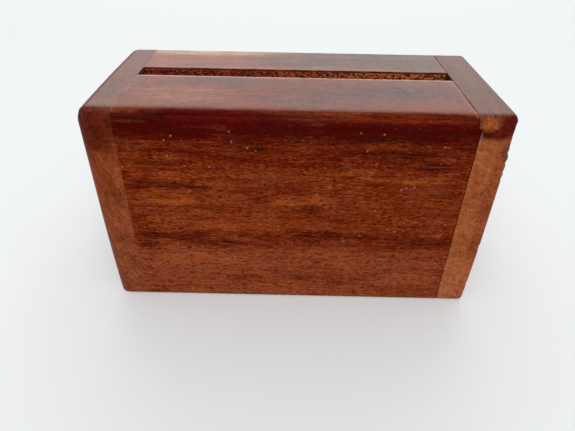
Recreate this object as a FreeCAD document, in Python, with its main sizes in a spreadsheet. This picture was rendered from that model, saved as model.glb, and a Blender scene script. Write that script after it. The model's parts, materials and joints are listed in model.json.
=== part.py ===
"""A hardwood money-slot puzzle box: six boards, a slotted top, a hidden drawer behind the right end board
and two loose lock pins. Millimetres, +Z up, +X towards the end that slides out, front face at -Y, and the
origin at the centre of the underside."""

import FreeCAD, Part
import Sketcher

import os

doc = FreeCAD.newDocument("puzzle_box")

SIZES = (
    # outside
    ("box_length", 111.4, "overall length along X"),
    ("box_depth", 52.5, "overall depth along Y"),
    ("box_height", 62, "overall height"),
    ("front_left_radius", 5, "rounding of the upright corners"),
    ("front_right_radius", 1.6, ""),
    ("back_left_radius", 4.5, ""),
    ("back_right_radius", 2.4, ""),
    ("top_left_radius", 4.4, "rounding of the top edges"),
    ("top_right_radius", 0.9, ""),
    ("top_front_radius", 3, ""),
    ("top_back_radius", 2.5, ""),
    ("bottom_radius", 1.3, "rounding of all four bottom edges"),
    # boards
    ("left_end_thickness", 10.3, "left end board and its cap"),
    ("right_end_thickness", 9, "right end board, the front of the drawer"),
    ("panel_thickness", 7, "front and back panels"),
    ("bottom_thickness", 8, "bottom board"),
    ("top_thickness", 3, "slotted top layer: two strips and two end caps"),
    ("front_strip_width", 26.2, "top strip before the slot"),
    ("slot_width", 6.8, "money slot, between the two top strips"),
    ("cap_overlap", 0.8, "how far the right cap reaches over the ends of the panels"),
    ("cap_relief", 0.15, "clearance under that overlap"),
    ("joint_gap", 0.2, "open joint between the drawer front and the fixed boards"),
    # drawer
    ("drawer_side_gap", 0.3, "each side of the drawer, to the panels"),
    ("drawer_floor_gap", 0.2, "under the drawer"),
    ("drawer_end_gap", 0.5, "behind the drawer, to the left end board"),
    ("drawer_headroom", 13.8, "from the drawer sides to the top layer"),
    ("drawer_side_thickness", 3.5, "drawer sides"),
    ("drawer_floor_thickness", 3, "drawer floor"),
    ("inner_end_thickness", 4, "board that closes the hidden end of the drawer"),
    ("inner_end_headroom", 3, "from the inner end's tongue to the top layer"),
    ("housing_depth", 2, "grooves in the drawer front that hold sides and floor"),
    ("drawer_travel", 60, "how far the drawer slides out"),
    # guides and stop inside the box
    ("guide_width", 3.5, "strips that keep the drawer from tipping"),
    ("guide_height", 4, ""),
    ("guide_gap", 0.3, "guide to drawer"),
    ("stop_length", 8, "block that stops the drawer's tongue"),
    ("stop_width", 10, ""),
    ("stop_height", 10, ""),
    ("stop_gap", 0.3, "left between tongue and stop at full travel"),
    ("stop_inset", 5, "front panel to stop"),
    # dowels, brads and lock pins
    ("dowel_diameter", 3, "hidden dowels of the left corner joints"),
    ("dowel_cover", 2.5, "wood left between a dowel and the outer face"),
    ("dowel_reach", 7, "depth of a dowel in the panels and the bottom board"),
    ("dowel_edge", 12, "panel dowels, from the panel's top and bottom edges"),
    ("bottom_dowel_spacing", 20, ""),
    ("brad_diameter", 1.2, "brads through the drawer's inner end"),
    ("brad_length", 12, ""),
    ("brad_edge", 7, "brads, from the drawer sides' top and bottom edges"),
    ("pin_diameter", 5, "loose lock pins"),
    ("pin_length", 6, ""),
    ("pin_travel", 4, "rise of a pin when the box is turned over"),
    ("pin_recess", 0.2, "pin top below the bottom board's face when the box stands upright"),
    ("pin_bore_gap", 0.05, "radial running clearance in the bottom board"),
    ("pin_mortise_gap", 0.5, "each side of a pin, in the square mortises of the drawer floor"),
    ("pin_inset", 10, "left end board to pins"),
    ("pin_spacing", 16, "between the two pins"),
)

sheet = doc.addObject("Spreadsheet::Sheet", "Sizes")
for row, (alias, value, note) in enumerate(SIZES, start=1):
    sheet.set(f"A{row}", alias)
    sheet.set(f"B{row}", str(value))
    sheet.set(f"C{row}", note)
    sheet.setAlias(f"B{row}", alias)
doc.recompute()


def size(alias):
    """A cell of the sheet, as an expression."""
    return f"Sizes.{alias}"


# Planes of the box, as expressions of the sheet's cells.
LEFT = f"-{size('box_length')} / 2"
RIGHT = f"{size('box_length')} / 2"
FRONT = f"-{size('box_depth')} / 2"
BACK = f"{size('box_depth')} / 2"
TOP = size("box_height")
INNER_LEFT = f"{LEFT} + {size('left_end_thickness')}"
DRAWER_FRONT = f"{RIGHT} - {size('right_end_thickness')}"
FIXED_RIGHT = f"{DRAWER_FRONT} - {size('joint_gap')}"
CAP_EDGE = f"{DRAWER_FRONT} - {size('cap_overlap')}"
INNER_FRONT = f"{FRONT} + {size('panel_thickness')}"
INNER_BACK = f"{BACK} - {size('panel_thickness')}"
FLOOR = size("bottom_thickness")
UNDER_TOP = f"{TOP} - {size('top_thickness')}"
SLOT_FRONT = f"{FRONT} + {size('front_strip_width')}"
SLOT_BACK = f"{SLOT_FRONT} + {size('slot_width')}"
DRAWER_LEFT = f"{INNER_LEFT} + {size('drawer_end_gap')}"
INNER_END_FACE = f"{DRAWER_LEFT} + {size('inner_end_thickness')}"
HOUSING_END = f"{DRAWER_FRONT} + {size('housing_depth')}"
DRAWER_FRONT_FACE = f"{INNER_FRONT} + {size('drawer_side_gap')}"
DRAWER_BACK_FACE = f"{INNER_BACK} - {size('drawer_side_gap')}"
DRAWER_BASE = f"{FLOOR} + {size('drawer_floor_gap')}"
DRAWER_FLOOR_TOP = f"{DRAWER_BASE} + {size('drawer_floor_thickness')}"
SIDE_TOP = f"{UNDER_TOP} - {size('drawer_headroom')}"
TONGUE_TOP = f"{UNDER_TOP} - {size('inner_end_headroom')}"
GUIDE_BASE = f"{SIDE_TOP} + {size('guide_gap')}"
STOP_FACE = f"{INNER_END_FACE} + {size('drawer_travel')} + {size('stop_gap')}"
PIN_X = f"{INNER_LEFT} + {size('pin_inset')}"
PIN_BASE = f"{FLOOR} - {size('pin_recess')} - {size('pin_length')}"
FRONT_PIN_Y = f"-{size('pin_spacing')} / 2"
BACK_PIN_Y = f"{size('pin_spacing')} / 2"


def block(label, x, y, z):
    """A box between two planes on each axis."""
    made = doc.addObject("Part::Box", label)
    made.Label = label
    for name, axis, (low, high) in (("Length", "x", x), ("Width", "y", y), ("Height", "z", z)):
        made.setExpression(name, f"({high}) - ({low})")
        made.setExpression(f"Placement.Base.{axis}", low)
    return made


def upright_pin(label, x, y, base, length, diameter):
    """A round pin that stands along Z."""
    made = doc.addObject("Part::Cylinder", label)
    made.Label = label
    made.setExpression("Radius", f"({diameter}) / 2")
    made.setExpression("Height", length)
    for axis, place in (("x", x), ("y", y), ("z", base)):
        made.setExpression(f"Placement.Base.{axis}", place)
    return made


def level_pin(label, start, end, y, z, diameter):
    """A round pin that lies along X, from one plane to another."""
    made = doc.addObject("Part::Cylinder", label)
    made.Label = label
    made.Placement.Rotation = FreeCAD.Rotation(FreeCAD.Vector(0, 1, 0), 90)
    made.setExpression("Radius", f"({diameter}) / 2")
    made.setExpression("Height", f"({end}) - ({start})")
    for axis, place in (("x", start), ("y", y), ("z", z)):
        made.setExpression(f"Placement.Base.{axis}", place)
    return made


def group(label, members):
    """Separate solids in one node."""
    made = doc.addObject("Part::Compound", label)
    made.Label = label
    made.Links = members
    return made


def cut(label, base, *tools):
    """What is left of a piece after its holes and grooves."""
    for count, tool in enumerate(tools, start=1):
        last = count == len(tools)
        made = doc.addObject("Part::Cut", label if last else f"{label}_cut_{count}")
        made.Base = base
        made.Tool = tool
        base = made
    base.Label = label
    return base


def profile(body, role, corners):
    """A closed sketch of straight lines on one of a body's own planes, each corner held by expressions."""
    plane = next(f for f in body.Origin.OriginFeatures if f.Role == role)
    sketch = body.newObject("Sketcher::SketchObject", body.Name + "_profile")
    sketch.AttachmentSupport = [(plane, "")]
    sketch.MapMode = "FlatFace"
    drafted = [[float(sheet.evalExpression(place)) for place in corner] for corner in corners]
    count = len(corners)
    for index in range(count):
        ends = [FreeCAD.Vector(*drafted[i % count], 0) for i in (index, index + 1)]
        sketch.addGeometry(Part.LineSegment(*ends), False)
    for index in range(count):
        sketch.addConstraint(Sketcher.Constraint("Coincident", index, 2, (index + 1) % count, 1))
        for kind, place, drawn in zip(("DistanceX", "DistanceY"), corners[index], drafted[index]):
            held = sketch.addConstraint(Sketcher.Constraint(kind, -1, 1, index, 1, drawn))
            sketch.setExpression(f"Constraints[{held}]", place)
    return sketch


def padded_body(label, role, corners, length, both_ways=False):
    """A board cut to a profile and given its thickness."""
    body = doc.addObject("PartDesign::Body", label)
    body.Label = label
    pad = body.newObject("PartDesign::Pad", label + "_pad")
    pad.Profile = profile(body, role, corners)
    pad.Midplane = both_ways
    pad.setExpression("Length", length)
    body.Tip = pad
    return body


# The outer shape that all the outer boards were sanded to once they were together.

EDGE_RADII = {
    ("left", "front"): "front_left_radius",
    ("right", "front"): "front_right_radius",
    ("left", "back"): "back_left_radius",
    ("right", "back"): "back_right_radius",
    ("left", "top"): "top_left_radius",
    ("right", "top"): "top_right_radius",
    ("front", "top"): "top_front_radius",
    ("back", "top"): "top_back_radius",
    ("left", "bottom"): "bottom_radius",
    ("right", "bottom"): "bottom_radius",
    ("front", "bottom"): "bottom_radius",
    ("back", "bottom"): "bottom_radius",
}


def sides_of(edge, box):
    """The two faces of a box that an edge lies between."""
    middle = edge.CenterOfMass
    limits = (
        ("left", middle.x - box.XMin),
        ("right", box.XMax - middle.x),
        ("front", middle.y - box.YMin),
        ("back", box.YMax - middle.y),
        ("top", box.ZMax - middle.z),
        ("bottom", middle.z - box.ZMin),
    )
    return tuple(name for name, distance in limits if abs(distance) < 1e-6)


def outer_shape():
    blank = block("outer_blank", (LEFT, RIGHT), (FRONT, BACK), ("0", TOP))
    doc.recompute()
    rounded = doc.addObject("Part::Fillet", "outer_rounding")
    rounded.Base = blank
    edges = []
    for number, edge in enumerate(blank.Shape.Edges, start=1):
        radius = float(sheet.get(EDGE_RADII[sides_of(edge, blank.Shape.BoundBox)]))
        edges.append((number, radius, radius))
    rounded.Edges = edges
    return rounded


outer = outer_shape()


def sanded(label, blank):
    """An outer board, brought to the rounded outer shape."""
    made = doc.addObject("Part::Common", label)
    made.Base = blank
    made.Tool = outer
    made.Label = label
    return made


# Hidden dowels of the left corner joints. The boards' holes are cut with them, so they fit to the glue.

DOWEL = size("dowel_diameter")
DOWEL_START = f"{LEFT} + {size('dowel_cover')}"
DOWEL_END = f"{INNER_LEFT} + {size('dowel_reach')}"
DOWEL_HEIGHTS = {"low": size("dowel_edge"), "high": f"{UNDER_TOP} - {size('dowel_edge')}"}


def left_dowels(board, places):
    """The dowels that hold one board to the left end board."""
    pins = [level_pin(f"{board}_dowel_{name}", DOWEL_START, DOWEL_END, y, z, DOWEL) for name, y, z in places]
    return group(f"{board}_dowels", pins)


front_dowels = left_dowels(
    "front", [(name, f"({FRONT} + {INNER_FRONT}) / 2", z) for name, z in DOWEL_HEIGHTS.items()]
)
back_dowels = left_dowels(
    "back", [(name, f"({BACK} + {INNER_BACK}) / 2", z) for name, z in DOWEL_HEIGHTS.items()]
)
bottom_dowels = left_dowels(
    "bottom",
    [
        ("near", f"-{size('bottom_dowel_spacing')} / 2", f"{FLOOR} / 2"),
        ("far", f"{size('bottom_dowel_spacing')} / 2", f"{FLOOR} / 2"),
    ],
)
corner_dowels = group("corner_dowels", [front_dowels, back_dowels, bottom_dowels])

# Fixed boards. The front and back panels stand between the two ends, and the bottom board lies between them.

front_panel = cut(
    "front_panel",
    sanded("front_panel_sanded", block("front_panel_blank", (INNER_LEFT, FIXED_RIGHT),
                                       (FRONT, INNER_FRONT), ("0", UNDER_TOP))),
    front_dowels,
)
back_panel = cut(
    "back_panel",
    sanded("back_panel_sanded", block("back_panel_blank", (INNER_LEFT, FIXED_RIGHT),
                                      (INNER_BACK, BACK), ("0", UNDER_TOP))),
    back_dowels,
)
left_end_board = cut(
    "left_end_board",
    sanded("left_end_sanded", block("left_end_blank", (LEFT, INNER_LEFT), (FRONT, BACK), ("0", UNDER_TOP))),
    corner_dowels,
)
pin_bores = group(
    "pin_bores",
    [
        upright_pin(f"{name}_pin_bore", PIN_X, y, PIN_BASE, f"{FLOOR} - ({PIN_BASE})",
                    f"{size('pin_diameter')} + 2 * {size('pin_bore_gap')}")
        for name, y in (("front", FRONT_PIN_Y), ("back", BACK_PIN_Y))
    ],
)
bottom_board = cut(
    "bottom_board",
    block("bottom_blank", (INNER_LEFT, FIXED_RIGHT), (INNER_FRONT, INNER_BACK), ("0", FLOOR)),
    bottom_dowels,
    pin_bores,
)

# The slotted top layer, as far as it is fixed.

left_end_cap = sanded(
    "left_end_cap", block("left_cap_blank", (LEFT, INNER_LEFT), (FRONT, BACK), (UNDER_TOP, TOP))
)
STRIP_END = f"{CAP_EDGE} - {size('joint_gap')}"
front_top_strip = sanded(
    "front_top_strip", block("front_strip_blank", (INNER_LEFT, STRIP_END), (FRONT, SLOT_FRONT), (UNDER_TOP, TOP))
)
back_top_strip = sanded(
    "back_top_strip", block("back_strip_blank", (INNER_LEFT, STRIP_END), (SLOT_BACK, BACK), (UNDER_TOP, TOP))
)

# Guides above the drawer sides, and the block that the drawer's tongue meets at full travel.

GUIDE_LEVELS = (GUIDE_BASE, f"{GUIDE_BASE} + {size('guide_height')}")
front_guide = block("front_drawer_guide", (INNER_LEFT, FIXED_RIGHT),
                    (INNER_FRONT, f"{INNER_FRONT} + {size('guide_width')}"), GUIDE_LEVELS)
back_guide = block("back_drawer_guide", (INNER_LEFT, FIXED_RIGHT),
                   (f"{INNER_BACK} - {size('guide_width')}", INNER_BACK), GUIDE_LEVELS)
STOP_FRONT = f"{INNER_FRONT} + {size('stop_inset')}"
stop_block = block(
    "drawer_stop_block",
    (STOP_FACE, f"{STOP_FACE} + {size('stop_length')}"),
    (STOP_FRONT, f"{STOP_FRONT} + {size('stop_width')}"),
    (f"{UNDER_TOP} - {size('stop_height')}", UNDER_TOP),
)

# The drawer. Its front is the right end board, whose grooves hold the sides and the floor.

BRAD_Y = {
    "front": f"{DRAWER_FRONT_FACE} + {size('drawer_side_thickness')} / 2",
    "back": f"{DRAWER_BACK_FACE} - {size('drawer_side_thickness')} / 2",
}
BRAD_Z = {
    "low": f"{DRAWER_FLOOR_TOP} + {size('brad_edge')}",
    "high": f"{SIDE_TOP} - {size('brad_edge')}",
}
drawer_brads = group(
    "drawer_brads",
    [
        level_pin(f"{side}_brad_{level}", DRAWER_LEFT, f"{DRAWER_LEFT} + {size('brad_length')}", y, z,
                  size("brad_diameter"))
        for side, y in BRAD_Y.items()
        for level, z in BRAD_Z.items()
    ],
)
side_thickness = size("drawer_side_thickness")
front_side_blank = block(
    "front_side_blank", (INNER_END_FACE, HOUSING_END),
    (DRAWER_FRONT_FACE, f"{DRAWER_FRONT_FACE} + {side_thickness}"), (DRAWER_FLOOR_TOP, SIDE_TOP),
)
back_side_blank = block(
    "back_side_blank", (INNER_END_FACE, HOUSING_END),
    (f"{DRAWER_BACK_FACE} - {side_thickness}", DRAWER_BACK_FACE), (DRAWER_FLOOR_TOP, SIDE_TOP),
)
floor_blank = block(
    "floor_blank", (DRAWER_LEFT, HOUSING_END), (DRAWER_FRONT_FACE, DRAWER_BACK_FACE),
    (DRAWER_BASE, DRAWER_FLOOR_TOP),
)
drawer_front_side = cut("drawer_front_side", front_side_blank, drawer_brads)
drawer_back_side = cut("drawer_back_side", back_side_blank, drawer_brads)
MORTISE_REACH = f"({size('pin_diameter')} / 2 + {size('pin_mortise_gap')})"
pin_mortises = group(
    "pin_mortises",
    [
        block(f"{name}_pin_mortise", (f"{PIN_X} - {MORTISE_REACH}", f"{PIN_X} + {MORTISE_REACH}"),
              (f"{y} - {MORTISE_REACH}", f"{y} + {MORTISE_REACH}"), (FLOOR, DRAWER_FLOOR_TOP))
        for name, y in (("front", FRONT_PIN_Y), ("back", BACK_PIN_Y))
    ],
)
drawer_floor = cut("drawer_floor", floor_blank, pin_mortises)

TONGUE_FRONT = f"{INNER_FRONT} + {size('guide_width')} + {size('guide_gap')}"
TONGUE_BACK = f"{INNER_BACK} - {size('guide_width')} - {size('guide_gap')}"
inner_end_blank = padded_body(
    "inner_end_blank",
    "YZ_Plane",
    [
        (DRAWER_FRONT_FACE, DRAWER_FLOOR_TOP),
        (DRAWER_BACK_FACE, DRAWER_FLOOR_TOP),
        (DRAWER_BACK_FACE, SIDE_TOP),
        (TONGUE_BACK, SIDE_TOP),
        (TONGUE_BACK, TONGUE_TOP),
        (TONGUE_FRONT, TONGUE_TOP),
        (TONGUE_FRONT, SIDE_TOP),
        (DRAWER_FRONT_FACE, SIDE_TOP),
    ],
    size("inner_end_thickness"),
)
inner_end_blank.setExpression("Placement.Base.x", DRAWER_LEFT)
drawer_inner_end = cut("drawer_inner_end", inner_end_blank, drawer_brads)

right_end_board = cut(
    "right_end_board",
    sanded("right_end_sanded", block("right_end_blank", (DRAWER_FRONT, RIGHT), (FRONT, BACK), ("0", UNDER_TOP))),
    front_side_blank,
    back_side_blank,
    floor_blank,
)
CAP_UNDER = f"{UNDER_TOP} + {size('cap_relief')}"
right_end_cap = sanded(
    "right_end_cap",
    padded_body(
        "right_cap_blank",
        "XZ_Plane",
        [
            (CAP_EDGE, CAP_UNDER),
            (DRAWER_FRONT, CAP_UNDER),
            (DRAWER_FRONT, UNDER_TOP),
            (RIGHT, UNDER_TOP),
            (RIGHT, TOP),
            (CAP_EDGE, TOP),
        ],
        size("box_depth"),
        both_ways=True,
    ),
)

# Loose pins that drop into the bottom board when the box stands, and lock the drawer when it is turned over.

front_lock_pin, back_lock_pin = (
    upright_pin(label, PIN_X, y, PIN_BASE, size("pin_length"), size("pin_diameter"))
    for label, y in (("front_lock_pin", FRONT_PIN_Y), ("back_lock_pin", BACK_PIN_Y))
)

NODES = (
    front_panel, back_panel, left_end_board, bottom_board, left_end_cap, front_top_strip, back_top_strip,
    front_guide, back_guide, stop_block, corner_dowels, right_end_board, right_end_cap, drawer_floor,
    drawer_front_side, drawer_back_side, drawer_inner_end, drawer_brads, front_lock_pin, back_lock_pin,
)

doc.recompute()
for made in doc.Objects:
    if {"Invalid", "Error"} & set(made.State):
        raise RuntimeError(f"{made.Label} is {made.State}")
for node in NODES:
    if node.Shape.isNull() or not node.Shape.isValid() or not node.Shape.Solids:
        raise RuntimeError(f"{node.Label} has no sound solid")

os.makedirs("parts", exist_ok=True)
for node in NODES:
    node.Shape.exportStep(f"parts/{node.Label}.step")
    box = node.Shape.BoundBox
    print(f"{node.Label}: {len(node.Shape.Solids)} solid(s), {node.Shape.Volume:.1f} mm3, "
          f"{box.XLength:.2f} x {box.YLength:.2f} x {box.ZLength:.2f} mm")
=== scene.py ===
"""Wooden puzzle box: sanded outer boards, hidden drawer, locking pins and their timber finishes."""

import json
import math

import bmesh
import bpy
import numpy as np
from mathutils import Matrix, Vector, noise


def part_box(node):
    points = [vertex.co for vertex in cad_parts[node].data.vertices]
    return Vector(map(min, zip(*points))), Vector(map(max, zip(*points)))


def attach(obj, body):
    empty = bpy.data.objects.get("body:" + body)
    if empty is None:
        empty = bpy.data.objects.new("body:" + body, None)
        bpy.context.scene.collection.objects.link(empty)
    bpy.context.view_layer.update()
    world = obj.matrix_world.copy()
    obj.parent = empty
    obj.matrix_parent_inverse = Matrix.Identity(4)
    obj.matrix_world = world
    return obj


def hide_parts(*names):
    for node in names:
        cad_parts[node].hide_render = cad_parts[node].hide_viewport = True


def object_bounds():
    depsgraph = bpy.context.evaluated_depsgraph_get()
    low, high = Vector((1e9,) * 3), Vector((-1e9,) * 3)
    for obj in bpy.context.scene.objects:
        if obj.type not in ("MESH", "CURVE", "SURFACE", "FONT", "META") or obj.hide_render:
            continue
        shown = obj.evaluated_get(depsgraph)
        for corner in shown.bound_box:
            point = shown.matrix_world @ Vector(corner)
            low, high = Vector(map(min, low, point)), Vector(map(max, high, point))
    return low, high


bl_info = {
    "name": "Wooden Puzzle Box",
    "version": (1, 0, 0),
    "blender": (4, 5, 0),
    "location": "View3D > Sidebar > Puzzle Box",
    "description": "Finishes the boards, drawer and locking pins of a slotted wooden puzzle box",
    "category": "Object",
}

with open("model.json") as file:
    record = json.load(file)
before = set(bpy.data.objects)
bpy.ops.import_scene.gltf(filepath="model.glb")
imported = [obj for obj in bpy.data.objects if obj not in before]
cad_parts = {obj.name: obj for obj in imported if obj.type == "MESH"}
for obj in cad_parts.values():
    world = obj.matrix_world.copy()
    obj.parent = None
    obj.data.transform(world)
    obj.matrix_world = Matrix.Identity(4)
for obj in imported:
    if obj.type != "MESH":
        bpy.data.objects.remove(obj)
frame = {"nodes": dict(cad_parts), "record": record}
cad_low, cad_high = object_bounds()

MM = 0.001
BODY_OF = {node: body for body, nodes in frame["record"]["behaviour"]["bodies"].items() for node in nodes}
SLOT_OF = {part["node"]: part["material_slot"] for part in frame["record"]["subparts"]}
BOX_LOW = np.array(cad_low)
BOX_HIGH = np.array(cad_high)
WELD = 0.001 * MM  # points closer together than this are one point
SNAP = 0.7 * MM  # a board that ends this close to the box's skin is brought out to it
EDGE_FADE = 0.35 * MM  # how far a board's edge mark reaches in from its edges
FLAT = math.radians(1.0)  # faces that meet at less than this make one flat side
CORNER = math.radians(40.0)  # edges that turn by more than this are eased
# Height, half length and depth of the wear on the front right corner.
WORN_CORNER = (57.2 * MM, 3.8 * MM, 0.68 * MM)


# ---------------------------------------------------------------- settings


def length(label, description, millimetres):
    """A length setting, given in millimetres and kept in metres."""
    return bpy.props.FloatProperty(
        name=label, description=description, default=millimetres * MM, unit="LENGTH", precision=5
    )


def amount(label, description, default):
    """A plain number setting."""
    return bpy.props.FloatProperty(name=label, description=description, default=default, precision=3)


def angle(label, description, degrees):
    """An angle setting, given in degrees."""
    return bpy.props.FloatProperty(
        name=label, description=description, default=math.radians(degrees), subtype="ANGLE", precision=4
    )


def colour(label, description, value):
    """A colour setting."""
    return bpy.props.FloatVectorProperty(
        name=label, description=description, default=value, size=3, subtype="COLOR", min=0.0, max=1.0
    )


class PUZZLEBOX_PG_shape(bpy.types.PropertyGroup):
    """How the glued-up box is sanded, and how finely its boards are meshed."""

    front_left: length("Front left edge", "Radius of the upright edge at the front left", 5.4)
    front_right: length("Front right edge", "Radius of the upright edge at the front right", 1.6)
    back_left: length("Back left edge", "Radius of the upright edge at the back left", 4.5)
    back_right: length("Back right edge", "Radius of the upright edge at the back right", 2.4)
    top_left: length("Top left edge", "Radius of the edge along the left of the top", 4.4)
    top_right: length("Top right edge", "Radius of the edge along the right of the top", 0.9)
    top_front: length("Top front edge", "Radius of the edge along the front of the top", 3.6)
    top_back: length("Top back edge", "Radius of the edge along the back of the top", 2.5)
    bottom: length("Bottom edges", "Radius of the edges that the box stands on", 1.3)
    arris: length("Joint edge", "Radius that the sander leaves at a glued joint", 0.07)
    open_arris: length("Open joint edge", "Radius at the joint that opens with the drawer", 0.22)
    inner_arris: length("Inner edge", "Bevel on the edges of the parts inside", 0.25)
    top_fall: length("Ends at the top", "How far the ends fall back from upright at the top", 0.0)
    bottom_fall: length("Ends at the bottom", "How far the ends fall back from upright at the bottom", 0.65)
    left_bow: length("Left end bow", "How far the left end falls back towards its upright edges", 0.4)
    right_bow: length("Right end bow", "How far the right end falls back towards its upright edges", 0.0)
    board_step: length("Board mesh", "Spacing of the mesh over the boards", 0.8)
    wall_step: length("Slot wall mesh", "Spacing of the mesh along the rough slot walls", 0.3)
    saw_depth: length("Saw marks", "Depth of the saw marks on the slot's long walls", 0.22)


class PUZZLEBOX_PG_stage(bpy.types.PropertyGroup):
    """Camera, floor and lights."""

    lens: amount("Lens", "Focal length of the camera, in millimetres", 29.7)
    camera_side: length("Camera side", "Camera's place along the box", -0.51)
    camera_back: length("Camera distance", "Camera's place in front of the box", -134.64)
    camera_height: length("Camera height", "Camera's height above the floor", 109.09)
    pitch: angle("Pitch", "How far the camera looks down", 35.493)
    roll: angle("Roll", "Camera's tilt about its own axis", -1.033)
    yaw: angle("Yaw", "Camera's turn about the upright axis", 0.310)
    floor_reach: length("Floor", "Half the width of the floor", 3000.0)
    floor_colour: colour("Floor colour", "Colour of the floor", (0.715, 0.722, 0.712))
    sky_colour: colour("Surroundings", "Colour of the surroundings", (0.95, 0.97, 1.0))
    sky_strength: amount("Surroundings strength", "Brightness of the surroundings", 0.75)
    window_power: amount("Back light", "Power of the large soft light behind the box, in watts", 9.5)
    fill_power: amount("Front light", "Power of the large soft light in front of the box, in watts", 10.4)


TIMBERS = {
    # slot: (dark streaks, body, bright streaks, band width in mm, pore share, roughness)
    "panel_wood": ((0.044, 0.0013, 0.0001), (0.124, 0.0122, 0.001), (0.225, 0.046, 0.011), 3.6, 0.62, 0.36),
    "left_end_wood": ((0.086, 0.011, 0.002), (0.210, 0.041, 0.009), (0.29, 0.072, 0.021), 3.5, 0.30, 0.38),
    "right_end_wood": ((0.110, 0.020, 0.005), (0.270, 0.071, 0.021), (0.37, 0.118, 0.042), 3.0, 0.20, 0.38),
    "left_cap_wood": ((0.070, 0.018, 0.010), (0.140, 0.042, 0.020), (0.20, 0.074, 0.040), 5.0, 0.12, 0.36),
    "right_cap_wood": ((0.060, 0.012, 0.007), (0.112, 0.031, 0.016), (0.18, 0.058, 0.030), 5.0, 0.12, 0.36),
    "front_strip_wood": ((0.07, 0.014, 0.007), (0.165, 0.034, 0.012), (0.25, 0.064, 0.026), 6.0, 0.10, 0.33),
    "back_strip_wood": ((0.090, 0.026, 0.016), (0.220, 0.062, 0.028), (0.33, 0.110, 0.055), 6.0, 0.10, 0.33),
    "bottom_wood": ((0.070, 0.012, 0.005), (0.250, 0.050, 0.014), (0.38, 0.090, 0.024), 6.0, 0.45, 0.45),
    "inner_wood": ((0.240, 0.110, 0.050), (0.420, 0.220, 0.105), (0.52, 0.300, 0.160), 5.0, 0.35, 0.62),
    "dowel_wood": ((0.420, 0.260, 0.120), (0.560, 0.380, 0.200), (0.66, 0.480, 0.280), 2.0, 0.20, 0.60),
}


def timber_settings(slot):
    """The class that holds the settings of one timber finish."""
    dark, body, bright, band, pores, rough = TIMBERS[slot]
    plain = slot.replace("_", " ")
    fields = {
        "dark": colour("Dark streaks", f"Dark streaks of the {plain}", dark),
        "body": colour("Body", f"Main colour of the {plain}", body),
        "bright": colour("Bright streaks", f"Bright streaks of the {plain}", bright),
        "band": amount("Band width", f"Width of the colour bands of the {plain}, in millimetres", band),
        "pores": amount("Pore share", f"Share of the {plain} that shows open pores", pores),
        "rough": amount("Roughness", f"Roughness of the oiled {plain}", rough),
    }
    extras = {"__doc__": f"Colours and figure of the {plain}.", "__annotations__": fields}
    return type(f"PUZZLEBOX_PG_{slot}", (bpy.types.PropertyGroup,), extras)


TIMBER_CLASSES = {slot: timber_settings(slot) for slot in TIMBERS}
PUZZLEBOX_PG_finishes = type(
    "PUZZLEBOX_PG_finishes",
    (bpy.types.PropertyGroup,),
    {
        "__doc__": "One set of settings for each timber.",
        "__annotations__": {s: bpy.props.PointerProperty(type=c) for s, c in TIMBER_CLASSES.items()},
    },
)


class PUZZLEBOX_PG_settings(bpy.types.PropertyGroup):
    """Everything that can be changed."""

    shape: bpy.props.PointerProperty(type=PUZZLEBOX_PG_shape)
    stage: bpy.props.PointerProperty(type=PUZZLEBOX_PG_stage)
    finishes: bpy.props.PointerProperty(type=PUZZLEBOX_PG_finishes)


def settings():
    """The scene's settings."""
    return bpy.context.scene.puzzle_box


# ---------------------------------------------------------------- node trees


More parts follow.
